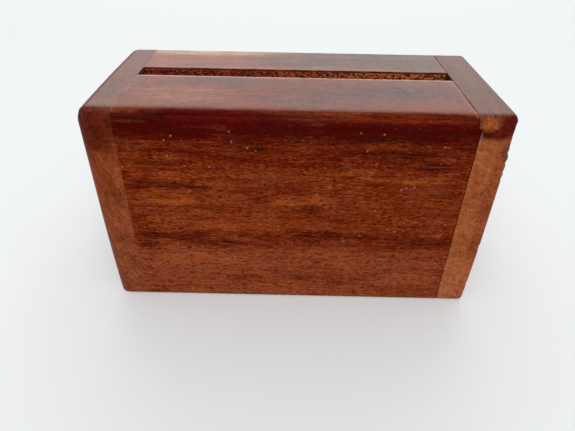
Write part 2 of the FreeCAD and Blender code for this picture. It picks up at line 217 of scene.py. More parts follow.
class Web:
    """Adds and links the nodes of one tree."""

    def __init__(self, tree):
        self.tree = tree

    def add(self, kind, inputs=None, **options):
        """A new node, with its options set and its named inputs set or linked."""
        node = self.tree.nodes.new(kind)
        for key, value in options.items():
            setattr(node, key, value)
        for name, value in (inputs or {}).items():
            self.feed(node.inputs[name], value)
        return node

    def feed(self, socket, value):
        """Links a socket to another one, or sets it."""
        if isinstance(value, bpy.types.NodeSocket):
            self.tree.links.new(value, socket)
        else:
            socket.default_value = value

    def group(self, tree, inputs):
        """A group node's outputs."""
        return self.add("ShaderNodeGroup", inputs, node_tree=tree).outputs

    def math(self, operation, *values, clamp=False):
        """One math node's result."""
        node = self.add("ShaderNodeMath", operation=operation, use_clamp=clamp)
        for socket, value in zip(node.inputs, values):
            self.feed(socket, value)
        return node.outputs[0]

    def plus(self, first, second, clamp=False):
        """The sum of two values."""
        return self.math("ADD", first, second, clamp=clamp)

    def minus(self, first, second, clamp=False):
        """The first value less the second."""
        return self.math("SUBTRACT", first, second, clamp=clamp)

    def times(self, first, second, clamp=False):
        """The product of two values."""
        return self.math("MULTIPLY", first, second, clamp=clamp)

    def one_over(self, value):
        """One divided by a value."""
        return self.math("DIVIDE", 1.0, value)

    def swing(self, value, reach):
        """A value from 0 to 1 turned into a swing to both sides of nought."""
        return self.times(self.minus(value, 0.5), reach)

    def vector(self, operation, *values):
        """One vector math node's result."""
        node = self.add("ShaderNodeVectorMath", operation=operation)
        for socket, value in zip(node.inputs, values):
            self.feed(socket, value)
        return node.outputs["Value" if operation == "LENGTH" else "Vector"]

    def scale(self, vector, share):
        """A vector or colour multiplied by one value."""
        node = self.add("ShaderNodeVectorMath", {"Scale": share}, operation="SCALE")
        self.feed(node.inputs[0], vector)
        return node.outputs["Vector"]

    def axes(self, x, y, z):
        """A vector from three values."""
        return self.add("ShaderNodeCombineXYZ", {"X": x, "Y": y, "Z": z}).outputs[0]

    def along(self, vector, axis):
        """A vector's value along one axis."""
        return self.add("ShaderNodeSeparateXYZ", {"Vector": vector}).outputs[axis]

    def mark(self, name):
        """A value that is stored on the mesh."""
        return self.add("ShaderNodeAttribute", attribute_name=name).outputs["Fac"]

    def blur(self, value, low, high):
        """Values from low to high spread smoothly over 0 to 1."""
        inputs = {"Value": value, "From Min": low, "From Max": high}
        return self.add("ShaderNodeMapRange", inputs, interpolation_type="SMOOTHSTEP").outputs[0]

    def mix(self, factor, first, second, blend="MIX"):
        """Two colours mixed."""
        node = self.add("ShaderNodeMix", data_type="RGBA", blend_type=blend)
        self.feed(node.inputs["Factor"], factor)
        self.feed(node.inputs[6], first)
        self.feed(node.inputs[7], second)
        return node.outputs[2]

    def noise_at(self, position, detail=2.0, roughness=0.5):
        """Noise over a position."""
        inputs = {"Vector": position, "Scale": 1.0, "Detail": detail, "Roughness": roughness}
        return self.add("ShaderNodeTexNoise", inputs).outputs["Fac"]

    def noise(self, position, scales, detail=2.0, roughness=0.5):
        """Noise over a position that is first divided by three lengths."""
        shares = tuple(1.0 / part for part in scales)
        return self.noise_at(self.vector("MULTIPLY", position, shares), detail, roughness)

    def cells(self, position):
        """Scattered cells: how far each point is from its cell's centre, and the cell's random values."""
        cells = self.add("ShaderNodeTexVoronoi", {"Vector": position, "Scale": 1.0, "Randomness": 1.0})
        chances = self.add("ShaderNodeSeparateColor", {"Color": cells.outputs["Color"]}).outputs
        return cells.outputs["Distance"], chances

    def ramp(self, factor, stops):
        """A grey ramp through (place, grey) stops."""
        node = self.add("ShaderNodeValToRGB", {"Fac": factor})
        places = node.color_ramp.elements
        while len(places) < len(stops):
            places.new(0.5)
        for place, (position, grey) in zip(places, stops):
            place.position = position
            place.color = (grey, grey, grey, 1.0)
        return node.outputs["Color"]


SOCKET_KINDS = {
    **dict.fromkeys(("Position", "Centre", "Reach"), "NodeSocketVector"),
    **dict.fromkeys(("Dark", "Body", "Bright", "Ground", "Pale", "Color"), "NodeSocketColor"),
}


def node_group(name, inputs, outputs):
    """Makes a function that links nodes into one that gives their shader node group, built only once."""

    def wrap(build):
        def tree_once():
            if name in bpy.data.node_groups:
                return bpy.data.node_groups[name]
            tree = bpy.data.node_groups.new(name, "ShaderNodeTree")
            for way, labels in (("INPUT", inputs), ("OUTPUT", outputs)):
                for label in labels:
                    kind = SOCKET_KINDS.get(label, "NodeSocketFloat")
                    tree.interface.new_socket(label, in_out=way, socket_type=kind)
            web = Web(tree)
            web.add("NodeGroupOutput", build(web, web.add("NodeGroupInput").outputs))
            return tree

        tree_once.__doc__ = build.__doc__
        return tree_once

    return wrap


@node_group(
    "timber_figure",
    ("Position", "Band Width", "Seed"),
    ("Bands", "Streaks", "Fibres", "Grit", "Mottle"),
)
def figure_group(web, given):
    """Bands, streaks, fibres and mottle of timber whose grain runs along X; positions in millimetres."""
    place = web.vector("ADD", given["Position"], web.axes(given["Seed"], given["Seed"], given["Seed"]))
    shift = web.swing(web.noise(place, (34.0, 11.0, 11.0)), 5.0)
    ripple = web.swing(web.noise(place, (9.0, 4.0, 4.0), 1.0), 1.0)
    sway = web.plus(shift, ripple)
    bent = web.vector("ADD", place, web.axes(0.0, sway, sway))
    across = web.one_over(given["Band Width"])
    along = web.times(across, 0.07)
    banded = web.vector("MULTIPLY", bent, web.axes(along, across, across))
    return {
        "Bands": web.blur(web.noise_at(banded, 3.0, 0.55), 0.28, 0.72),
        "Streaks": web.blur(web.noise(bent, (13.0, 1.0, 1.0), 3.0, 0.66), 0.3, 0.7),
        "Fibres": web.blur(web.noise(bent, (2.0, 0.26, 0.26), 2.0, 0.6), 0.27, 0.73),
        "Grit": web.blur(web.noise(bent, (0.9, 0.34, 0.34), 2.0, 0.6), 0.32, 0.68),
        "Mottle": web.blur(web.noise(place, (5.5, 9.0, 9.0)), 0.3, 0.7),
    }


@node_group("open_pores", ("Position", "Spacing", "Share"), ("Pores",))
def pores_group(web, given):
    """Open pores: short dark dashes along the grain, and dots on end grain."""
    stretch = 3.2
    across = web.one_over(given["Spacing"])
    along = web.math("DIVIDE", across, stretch)
    distance, chances = web.cells(web.vector("MULTIPLY", given["Position"], web.axes(along, across, across)))
    drift = web.plus(web.noise(given["Position"], (14.0, 5.0, 5.0)), given["Share"])
    present = web.blur(web.minus(drift, chances["Red"]), 0.30, 0.75)
    return {"Pores": web.times(web.blur(distance, 0.40, 0.20), present)}


@node_group("dust_specks", ("Position", "Spacing", "Size"), ("Specks",))
def specks_group(web, given):
    """A few tiny pale specks of dust caught in the finish."""
    distance, chances = web.cells(web.scale(given["Position"], web.one_over(given["Spacing"])))
    edge = web.math("DIVIDE", web.times(given["Size"], chances["Green"]), given["Spacing"])
    return {"Specks": web.blur(distance, edge, web.times(edge, 0.4))}


@node_group("soft_patch", ("Position", "Centre", "Reach", "Raggedness"), ("Patch",))
def patch_group(web, given):
    """A soft-edged patch with a centre and a reach along each axis, torn along the grain."""
    away = web.vector("DIVIDE", web.vector("SUBTRACT", given["Position"], given["Centre"]), given["Reach"])
    torn = web.swing(web.noise(given["Position"], (6.0, 1.8, 0.8), 3.0, 0.6), given["Raggedness"])
    return {"Patch": web.blur(web.plus(web.vector("LENGTH", away), torn), 1.2, 0.55)}


@node_group("growth_rings", ("Position", "Spacing", "Lean"), ("Rings",))
def rings_group(web, given):
    """Growth rings as they show on end grain, leaning by an angle about the grain."""
    inputs = {"Vector": given["Position"], "Angle": given["Lean"]}
    turned = web.add("ShaderNodeVectorRotate", inputs, rotation_type="X_AXIS").outputs[0]
    bend = web.swing(web.noise(given["Position"], (40.0, 9.0, 9.0)), 5.0)
    bent = web.vector("ADD", turned, web.axes(0.0, bend, 0.0))
    fine = web.vector("MULTIPLY", bent, web.axes(0.01, web.one_over(given["Spacing"]), 0.03))
    return {"Rings": web.blur(web.noise_at(fine, 2.0, 0.6), 0.32, 0.68)}


@node_group(
    "oiled_timber",
    ("Position", "Tone", "Dark", "Body", "Bright", "Band Width", "Pore Share", "Roughness", "Seed"),
    ("Color", "Roughness", "Height", "Shade"),
)
def timber_group(web, given):
    """Colour, roughness, relief and shade of one oiled timber."""
    position = given["Position"]
    figure = web.group(figure_group(), {label: given[label] for label in ("Position", "Band Width", "Seed")})
    holes = 0.0
    sizes_of_pores = ((0.78, 1.0), (0.47, 0.75))  # spacing and depth
    for spacing, depth in sizes_of_pores:
        inputs = {"Position": position, "Spacing": spacing, "Share": given["Pore Share"]}
        holes = web.math("MAXIMUM", holes, web.times(web.group(pores_group(), inputs)["Pores"], depth))
    shares = (("Bands", 0.26), ("Streaks", 0.40), ("Fibres", 0.46), ("Grit", 0.38), ("Mottle", 0.14))
    tone = given["Tone"]
    for label, share in shares:
        tone = web.plus(tone, web.swing(figure[label], share))
    low = web.times(tone, 2.0, clamp=True)
    high = web.minus(web.times(tone, 2.0), 1.0, clamp=True)
    colour_now = web.mix(high, web.mix(low, given["Dark"], given["Body"]), given["Bright"])
    hole = web.times(holes, 0.88)
    deep = web.mix(1.0, web.mix(0.22, given["Dark"], given["Body"]), (0.90, 0.60, 0.50, 1.0), "MULTIPLY")
    colour_now = web.mix(hole, colour_now, deep)
    aside = web.vector("ADD", position, (31.7, 17.3, 23.9))
    flecks = web.group(pores_group(), {"Position": aside, "Spacing": 0.56, "Share": 0.42})["Pores"]
    worn = web.swing(figure["Streaks"], 0.10)
    return {
        "Color": web.mix(web.times(flecks, 0.42), colour_now, given["Bright"]),
        "Roughness": web.plus(given["Roughness"], web.plus(worn, web.times(hole, 0.25))),
        "Height": web.minus(web.times(figure["Fibres"], 0.25), holes),
        "Shade": web.minus(tone, web.times(hole, 0.5)),
    }


@node_group("sawn_timber", ("Position", "Ground", "Pale", "Gold"), ("Color",))
def sawn_group(web, given):
    """Colour of rough-sawn timber: pale torn fibres over a dark ground."""
    grain = web.blur(web.noise(given["Position"], (0.80, 0.50, 0.42), 3.0, 0.7), 0.43, 0.60)
    clumps = web.minus(web.noise(given["Position"], (3.0, 2.0, 1.2)), 0.5)
    golden = web.mix(given["Gold"], given["Pale"], (0.54, 0.150, 0.034, 1.0))
    return {"Color": web.mix(web.plus(grain, clumps, clamp=True), given["Ground"], golden)}


# ---------------------------------------------------------------- materials


def finish_name(slot):
    """The name of the material that finishes a slot."""
    return f"finished_{slot}"


def open_finish(slot):
    """A slot's new material, the web of its nodes, and the place on its piece in millimetres."""
    material = bpy.data.materials.new(finish_name(slot))
    material.use_nodes = True
    material.node_tree.nodes.clear()
    web = Web(material.node_tree)
    source = web.add("ShaderNodeTexCoord").outputs["Object"]
    place = web.add("ShaderNodeMapping", {"Vector": source, "Scale": (1 / MM,) * 3}).outputs[0]
    return material, web, place


def close_finish(web, height, relief, inputs):
    """Closes a material with its relief, in millimetres, and its shader."""
    bump = web.add("ShaderNodeBump", {"Height": height, "Distance": relief * MM, "Strength": 1.0})
    shader = web.add("ShaderNodeBsdfPrincipled", {**inputs, "Normal": bump.outputs[0]})
    web.add("ShaderNodeOutputMaterial", {"Surface": shader.outputs[0]})


class Timber:
    """One timber material while it is being put together; positions are in millimetres."""

    def __init__(self, slot, across=False, tone=None, seed=0.0):
        self.material, self.web, self.place = open_finish(slot)
        look = getattr(settings().finishes, slot)
        turn = (0.0, 0.0, math.radians(-90.0 if across else 0.0))
        self.grain = self.web.add("ShaderNodeMapping", {"Vector": self.place, "Rotation": turn}).outputs[0]
        inputs = {
            "Position": self.grain,
            "Tone": tone(self) if tone else 0.5,
            "Dark": (*look.dark, 1.0),
            "Body": (*look.body, 1.0),
            "Bright": (*look.bright, 1.0),
            "Band Width": look.band,
            "Pore Share": look.pores,
            "Roughness": look.rough,
            "Seed": seed,
        }
        timber = self.web.group(timber_group(), inputs)
        self.colour = timber["Color"]
        self.rough = timber["Roughness"]
        self.height = timber["Height"]
        self.shade = timber["Shade"]

    def mask(self, centre, reach, ragged):
        """A soft patch; an axis it doesn't care about has a long reach."""
        inputs = {"Position": self.place, "Centre": centre, "Reach": reach, "Raggedness": ragged}
        return self.web.group(patch_group(), inputs)["Patch"]

    def paint(self, tint, factor, blend="MIX"):
        """Mixes in one colour."""
        self.colour = self.web.mix(factor, self.colour, (*tint, 1.0), blend)

    def tint(self, tint, factor, least):
        """Mixes in a colour that is lighter and darker with the figure, down to a least brightness."""
        web = self.web
        light = web.math("MAXIMUM", web.plus(web.times(self.shade, 1.5), 0.25), least)
        self.colour = web.mix(factor, self.colour, web.scale(tint, light))

    def stain_and_painted_light(self, tint, strength, centre, reach, ragged=0.8, least=0.1):
        """Tints a soft patch of the surface and keeps its figure."""
        self.tint(tint, self.web.times(self.mask(centre, reach, ragged), strength), least)

    def clouds(self, tint, strength, scales, shift):
        """Tints drifting clouds of the surface."""
        web = self.web
        place = web.vector("ADD", self.grain, (shift, shift, shift))
        self.tint(tint, web.times(web.blur(web.noise(place, scales, 3.0), 0.50, 0.72), strength), 0.1)

    def darken(self, share, centre, reach, ragged=1.6):
        """Darkens a streaky patch of the surface."""
        web = self.web
        streaks = web.blur(web.noise(self.grain, (5.0, 0.45, 0.45), 3.0, 0.6), 0.30, 0.62)
        factor = web.times(web.times(self.mask(centre, reach, ragged), streaks), share)
        self.paint((0.30, 0.16, 0.14), factor, "MULTIPLY")

    def rings(self, tint, strength, spacing, lean):
        """Draws growth rings on end grain."""
        inputs = {"Position": self.grain, "Spacing": spacing, "Lean": math.radians(lean)}
        rings = self.web.group(rings_group(), inputs)["Rings"]
        self.paint(tint, self.web.times(rings, strength))

    def dust(self, spacing=3.2, size=0.51):
        """Adds tiny pale specks."""
        inputs = {"Position": self.place, "Spacing": spacing, "Size": size}
        specks = self.web.group(specks_group(), inputs)["Specks"]
        self.paint((0.36, 0.15, 0.10), self.web.times(specks, 0.48))

    def edge_wear_and_highlight(self, tint, strength, above=0.0):
        """Lightens the arrises above a height, where the finish is rubbed thin."""
        web = self.web
        edge = web.times(web.mark("edge"), web.blur(web.along(self.place, "Z"), above - 0.4, above))
        patchy = web.blur(web.noise(self.place, (3.0, 3.0, 3.0)), 0.35, 0.7)
        self.paint(tint, web.times(web.times(edge, patchy), strength))

    def sawn(self, ground, pale, gold):
        """Rough-sawn finish wherever the mesh is marked as sawn."""
        web = self.web
        sawn = web.mark("sawn")
        inputs = {"Position": self.place, "Ground": (*ground, 1.0), "Pale": (*pale, 1.0), "Gold": gold}
        self.colour = web.mix(sawn, self.colour, web.group(sawn_group(), inputs)["Color"])
        self.rough = web.plus(self.rough, web.times(sawn, 0.45))

    def top_shine(self, weight):
        """A coat of polish on the top of the box, which fades out over its rounded edges."""
        top = BOX_HIGH[2] / MM
        start, full = top - 0.30, top - 0.01
        return self.web.times(self.web.blur(self.web.along(self.place, "Z"), start, full), weight)

    def finish(self, relief=0.03, gloss=0.02, coat=0.0):
        """Closes the material."""
        inputs = {
            "Base Color": self.colour,
            "Roughness": self.rough,
            "Specular IOR Level": gloss,
            "Coat Weight": coat,
            "Coat Roughness": 0.32,
        }
        close_finish(self.web, self.height, relief, inputs)
        return self.material


ORANGE = (0.230, 0.046, 0.006)


def panel_tone(timber):
    """The front panel's colour bands by height, as shares of the way from dark to bright."""
    web = timber.web
    waver = web.swing(web.noise(timber.place, (30.0, 20.0, 5.0)), 5.0)
    low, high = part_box("front_panel")
    tall = (high.z - low.z) / MM
    height = web.math("DIVIDE", web.plus(web.along(timber.place, "Z"), waver), tall)
    bands = (
        (0.0, 0.74), (5.0, 0.76), (8.0, 0.70), (12.0, 0.72), (15.5, 0.78), (18.5, 0.68), (21.0, 0.50),
        (24.5, 0.48), (27.5, 0.62), (33.0, 0.58), (37.0, 0.64), (41.0, 0.50), (45.0, 0.56), (48.0, 0.50),
        (51.0, 0.40), (53.0, 0.44), (55.0, 0.32), (57.0, 0.12), (59.0, 0.02),
    )
    return web.ramp(height, [(z / tall, tone) for z, tone in bands])


def panel_wood():
    """Front and back panels: level grain in dark and orange-red bands."""
    timber = Timber("panel_wood", tone=panel_tone, seed=3.0)
    wide = 200.0
    darker = (
        # along, up, half length, half height, strength
        (-33.0, 23.5, 12.0, 2.6, 0.80), (-41.5, 20.8, 3.5, 1.8, 1.00), (-19.5, 21.5, 4.5, 2.0, 1.10),
        (38.0, 22.5, 12.0, 2.4, 0.55), (-9.0, 52.5, 3.4, 0.9, 1.00), (-35.0, 41.0, 11.0, 1.5, 1.00),
        (-37.0, 47.6, 7.0, 0.6, 0.95), (-8.5, 36.4, 3.6, 1.8, 0.60), (4.0, 33.8, 6.0, 1.6, 0.55),
        (29.0, 55.6, 17.0, 1.6, 0.75), (27.0, 51.5, 15.0, 1.6, 0.90), (37.0, 48.0, 8.0, 1.1, 1.00),
        (10.0, 25.0, 16.0, 1.4, 0.80), (-2.0, 10.5, 6.0, 1.8, 0.50), (-16.0, 8.0, 4.0, 1.2, 0.55),
    )
    brighter = (
        (-33.0, 36.5, 7.0, 2.4, 0.30), (-9.0, 28.5, 13.0, 2.0, 0.22), (14.0, 46.0, 11.0, 1.3, 0.30),
        (-36.0, 50.0, 9.0, 1.6, 0.25), (10.0, 41.5, 14.0, 1.2, 0.22), (2.0, 5.0, 20.0, 1.0, 0.25),
        (33.0, 44.0, 12.0, 1.6, 0.34), (-30.0, 15.5, 14.0, 1.2, 0.22),
        (30.0, 29.0, 14.0, 1.6, 0.30), (22.0, 33.0, 12.0, 1.4, 0.26),
    )
    for along, up, half_length, half_height, strength in darker:
        timber.darken(strength, (along, 0.0, up), (half_length, wide, half_height))
    for along, up, half_length, half_height, strength in brighter:
        timber.stain_and_painted_light(ORANGE, strength, (along, 0.0, up), (half_length, wide, half_height), 1.0)
    timber.stain_and_painted_light((0.070, 0.0010, 0.0001), 0.97, (0.0, 0.0, 59.6), (wide, wide, 4.8), 1.5, least=0.62)
    # a pinkish-grey haze, lighter and greyer towards the bottom of the panels
    timber.stain_and_painted_light((0.170, 0.054, 0.030), 0.14, (0.0, 0.0, 5.0), (wide, wide, 17.0), 0.9)
    timber.clouds((0.150, 0.042, 0.022), 0.24, (9.0, 4.0, 4.0), 11.0)
    timber.clouds((0.160, 0.034, 0.003), 0.30, (12.0, 2.4, 2.4), 47.0)
    timber.dust()
    return timber.finish()


def left_end_wood():
    """Left end board: end grain at the front, with leaning rings and a tan streak by the joint."""
    timber = Timber("left_end_wood", across=True, seed=21.0)
    timber.rings((0.070, 0.010, 0.004), 0.55, 0.8, 24.0)
    timber.clouds((0.130, 0.028, 0.009), 0.45, (12.0, 2.0, 7.0), 5.0)
    timber.stain_and_painted_light((0.062, 0.006, 0.0015), 0.85, (-52.0, -26.0, 58.0), (10.0, 12.0, 9.0))
    timber.stain_and_painted_light((0.190, 0.056, 0.016), 0.35, (-46.6, -26.0, 38.0), (1.6, 12.0, 13.0), 0.9)
    timber.stain_and_painted_light((0.185, 0.050, 0.021), 0.40, (-50.0, -26.0, 14.0), (8.0, 20.0, 22.0))
    timber.dust(7.0)
    # lighter arrises: partly rubbed-thin finish, partly a painted highlight where they catch the light
    timber.edge_wear_and_highlight((0.26, 0.09, 0.04), 0.15)
    return timber.finish()


def right_end_wood():
    """Right end board: lighter orange end grain with dark pore dots and a grey bruise."""
    timber = Timber("right_end_wood", across=True, seed=47.0)
    timber.rings((0.120, 0.025, 0.006), 0.35, 0.8, 70.0)
    timber.clouds((0.180, 0.034, 0.011), 0.60, (12.0, 1.3, 11.0), 29.0)
    timber.clouds((0.250, 0.082, 0.018), 0.50, (12.0, 1.6, 12.0), 71.0)
    timber.stain_and_painted_light((0.066, 0.003, 0.0006), 0.95, (51.0, -26.0, 58.2), (6.5, 12.0, 2.1), 0.6)
    timber.stain_and_painted_light((0.190, 0.048, 0.009), 0.70, (48.2, -26.0, 59.0), (1.6, 12.0, 0.8), 0.4)
    timber.stain_and_painted_light((0.060, 0.030, 0.034), 0.75, (54.4, -25.5, 52.6), (1.5, 4.0, 3.0), 0.9)
    timber.stain_and_painted_light((0.165, 0.026, 0.008), 0.55, (53.6, -26.0, 34.0), (2.0, 6.0, 24.0))
    timber.stain_and_painted_light((0.130, 0.028, 0.010), 0.60, (53.4, -26.0, 5.0), (2.0, 6.0, 3.0), 0.8)
    # painted highlight: a pale line up the board's edge by its joint with the front panel, where the edge
    # catches the light
    timber.stain_and_painted_light((0.20, 0.11, 0.10), 0.45, (46.9, -26.2, 56.0), (0.25, 1.2, 2.6), 0.3)
    timber.dust(7.0)
    timber.stain_and_painted_light((0.340, 0.105, 0.040), 0.50, (50.0, -26.0, 4.0), (9.0, 12.0, 13.0), 0.7)
    # lighter arrises: partly rubbed-thin finish, partly a painted highlight where they catch the light
    timber.edge_wear_and_highlight((0.30, 0.12, 0.05), 0.15)
    return timber.finish()


def left_cap_wood():
    """Left end of the top layer."""
    timber = Timber("left_cap_wood", across=True, seed=61.0)
    timber.stain_and_painted_light((0.074, 0.007, 0.002), 0.95, (-51.0, -28.0, 58.8), (12.0, 6.6, 5.4), 0.5, least=0.5)
    # painted light: the slot's left end wall, seen through the slot, gets the grey-violet look that the
    # light gives it
    timber.stain_and_painted_light((0.085, 0.026, 0.018), 0.85, (-45.0, 3.3, 60.6), (0.8, 5.0, 1.6), 0.2, least=0.5)
    # painted highlight on the top arrises, where they catch the light, together with rubbed-thin finish
    timber.edge_wear_and_highlight((0.40, 0.22, 0.16), 0.25, above=61.6)
    return timber.finish(coat=timber.top_shine(0.335))


def right_cap_wood():
    """Right end of the top layer: an orange block and a dark red block at its front."""
    timber = Timber("right_cap_wood", across=True, seed=83.0)
    timber.stain_and_painted_light((0.225, 0.052, 0.011), 0.85, (48.6, -27.4, 60.0), (2.3, 4.0, 3.6), 0.5)
    timber.stain_and_painted_light((0.075, 0.004, 0.001), 0.95, (53.6, -27.4, 60.0), (3.3, 5.0, 4.0), 0.4, least=0.5)
    # painted shade: the slot's right end wall, seen through the slot, painted dark red where it lies in
    # shadow
    timber.stain_and_painted_light((0.050, 0.004, 0.002), 0.80, (45.6, 3.3, 60.0), (0.8, 5.0, 1.6), 0.2)
    # painted highlight on the top arrises, where they catch the light, together with rubbed-thin finish
    timber.edge_wear_and_highlight((0.42, 0.22, 0.15), 0.25, above=61.6)
    return timber.finish(coat=timber.top_shine(0.33))


def front_strip_wood():
    """Front strip of the top: dark at the left of its rounded edge and orange-red at the right."""
    timber = Timber("front_strip_wood", seed=5.0)
    timber.stain_and_painted_light((0.056, 0.0008, 0.0001), 1.0, (-22.0, -27.4, 59.4), (38.0, 6.2, 5.0), least=0.62)
    timber.darken(0.6, (-38.0, -26.0, 60.4), (8.0, 3.0, 1.3))
    timber.stain_and_painted_light((0.068, 0.0018, 0.0002), 1.0, (32.0, -27.4, 59.4), (36.0, 5.6, 4.6), 0.9, least=0.62)
    timber.stain_and_painted_light((0.130, 0.0150, 0.0015), 0.70, (26.0, -26.0, 61.0), (26.0, 3.0, 0.9), 1.0)
    timber.stain_and_painted_light((0.100, 0.018, 0.003), 0.60, (-41.0, -26.5, 59.2), (5.0, 2.0, 0.7), 0.8)
    timber.stain_and_painted_light((0.085, 0.042, 0.036), 0.60, (30.0, -9.0, 62.0), (26.0, 8.0, 3.0), 1.4)
    timber.stain_and_painted_light((0.070, 0.034, 0.032), 0.55, (-20.0, -4.0, 62.0), (20.0, 3.0, 3.0))
    timber.stain_and_painted_light((0.080, 0.036, 0.034), 0.55, (8.0, -17.0, 62.0), (20.0, 5.0, 3.0))
    timber.stain_and_painted_light((0.260, 0.085, 0.040), 0.55, (-30.0, -14.0, 62.0), (14.0, 7.0, 3.0))
    timber.sawn((0.050, 0.010, 0.004), (0.18, 0.06, 0.02), 0.3)
    # painted highlight: a pale line along the slot's front edge, where its arris catches the light
    timber.stain_and_painted_light((0.40, 0.24, 0.18), 0.70, (0.0, -0.3, 62.0), (200.0, 0.5, 0.8), 0.3)
    # painted highlight on the top arrises, where they catch the light, together with rubbed-thin finish
    timber.edge_wear_and_highlight((0.50, 0.30, 0.22), 0.5, above=61.6)
    return timber.finish(coat=timber.top_shine(0.305))


def back_strip_wood():
    """Back strip of the top: pale sapwood along its back edge, a grey patch, and a sawn slot wall."""
    timber = Timber("back_strip_wood", seed=9.0)
    timber.stain_and_painted_light((0.42, 0.27, 0.155), 0.75, (-29.0, 27.5, 62.0), (35.0, 8.5, 9.0), 0.7)
    timber.stain_and_painted_light((0.66, 0.46, 0.25), 0.85, (-35.0, 26.2, 62.0), (24.0, 2.6, 9.0), 0.7)
    timber.stain_and_painted_light((0.084, 0.050, 0.038), 0.60, (4.0, 16.0, 62.0), (20.0, 9.0, 6.0), 1.6)
    timber.stain_and_painted_light((0.086, 0.050, 0.036), 0.80, (32.0, 19.0, 62.0), (26.0, 13.0, 6.0), 1.6)
    gold = timber.web.blur(timber.web.along(timber.place, "X"), -25.0, 40.0)
    timber.sawn((0.036, 0.0020, 0.0008), (0.31, 0.048, 0.024), gold)
    # painted shade: a dark band along the top of the slot's back wall, under the slot's rim
    timber.stain_and_painted_light((0.048, 0.0040, 0.0025), 0.92, (0.0, 6.6, 61.75), (200.0, 0.5, 0.55), 0.5, least=0.5)
    # painted highlight on the top arrises, where they catch the light, together with rubbed-thin finish
    timber.edge_wear_and_highlight((0.50, 0.30, 0.20), 0.25, above=61.6)
    return timber.finish(coat=timber.top_shine(0.325))


def plain_timber(slot, seed):
    """A timber with nothing but its own figure and wear."""
    timber = Timber(slot, seed=seed)
    timber.edge_wear_and_highlight((0.55, 0.38, 0.24), 0.3)
    return timber.finish(relief=0.04, gloss=0.35)


def metal(slot, tint, rough, scratch):
    """Drawn or turned metal with fine marks along its length."""
    material, web, place = open_finish(slot)
    marks = web.blur(web.noise(place, scratch, 3.0, 0.6), 0.3, 0.7)
    dull = web.blur(web.noise(place, (2.0, 2.0, 2.0)), 0.3, 0.8)
    shadow = tuple(part * 0.55 for part in tint)
    inputs = {
        "Base Color": web.mix(web.times(dull, 0.5), (*tint, 1.0), (*shadow, 1.0)),
        "Roughness": web.plus(web.times(marks, 0.18), rough),
        "Metallic": 1.0,
    }
    close_finish(web, marks, 0.01, inputs)
    return material


FINISHES = {
    "panel_wood": panel_wood,
    "left_end_wood": left_end_wood,
    "right_end_wood": right_end_wood,
    "left_cap_wood": left_cap_wood,
    "right_cap_wood": right_cap_wood,
    "front_strip_wood": front_strip_wood,
    "back_strip_wood": back_strip_wood,
    "bottom_wood": lambda: plain_timber("bottom_wood", seed=13.0),
    "inner_wood": lambda: plain_timber("inner_wood", seed=17.0),
    "dowel_wood": lambda: plain_timber("dowel_wood", seed=19.0),
    "brad_brass": lambda: metal("brad_brass", (0.62, 0.42, 0.16), 0.28, (0.2, 0.2, 3.0)),
    "pin_steel": lambda: metal("pin_steel", (0.55, 0.55, 0.54), 0.24, (2.0, 2.0, 0.12)),
}


def finish_for(slot):
    """The material of a slot, made the first time it is asked for."""
    return bpy.data.materials.get(finish_name(slot)) or FINISHES[slot]()


# ---------------------------------------------------------------- mesh work


def stations(low, high, arris, step):
    """Grid lines across a board: close together beside each edge, then evenly spaced."""
    near = np.array([0.0, 0.5, 1.0, 2.0]) * arris
    count = max(2, round((high - low - 2 * near[-1]) / step) + 1)
    middle = np.linspace(low + near[-1], high - near[-1], count)
    return np.concatenate([low + near[:-1], middle, (high - near[:-1])[::-1]])


def box_skin(lines):
    """Points and outward four-sided faces of a box's skin, with a point at every crossing of its lines."""
    counts = [len(line) for line in lines]
    on_skin = np.zeros(counts, bool)
    sides = [(axis, end) for axis in range(3) for end in (0, -1)]
    cuts = {side: tuple(side[1] if a == side[0] else slice(None) for a in range(3)) for side in sides}
    for cut in cuts.values():
        on_skin[cut] = True
    number = np.full(counts, -1)
    number[on_skin] = np.arange(on_skin.sum())
    points = np.stack(np.meshgrid(*lines, indexing="ij"), -1)[on_skin]
    faces = []
    for (axis, end), cut in cuts.items():
        side = number[cut]
        ring = np.stack([side[:-1, :-1], side[1:, :-1], side[1:, 1:], side[:-1, 1:]], -1).reshape(-1, 4)
        faces.append(ring[:, ::-1] if (end == 0) != (axis == 1) else ring)
    return points, np.concatenate(faces)


def round_edge(points, axes, corner, inward, radius):
    """Pulls the square edge at a corner onto an arc, and what lies behind it follows."""
    centre = corner + inward * radius
    reach = (centre - points[:, axes]) * inward
    near = (reach > 0.0).all(1)
    part = reach[near]
    shrink = part.max(1) / np.linalg.norm(part, axis=1)
    points[np.ix_(near, axes)] = centre - inward * part * shrink[:, None]


def round_box(points, low, high, radii):
    """Rounds edges of a box. radii maps (plane's two axes, which side on each) to a radius."""
    for (axes, sides), radius in radii.items():
        corner = np.array([(low, high)[side][axis] for axis, side in zip(axes, sides)])
        inward = np.array([(1.0, -1.0)[side] for side in sides])
        round_edge(points, list(axes), corner, inward, radius)


def own_edges(arris):
    """The same small radius on all twelve edges of a board."""
    return {(axes, (a, b)): arris for axes in ((0, 1), (0, 2), (1, 2)) for a in (0, 1) for b in (0, 1)}


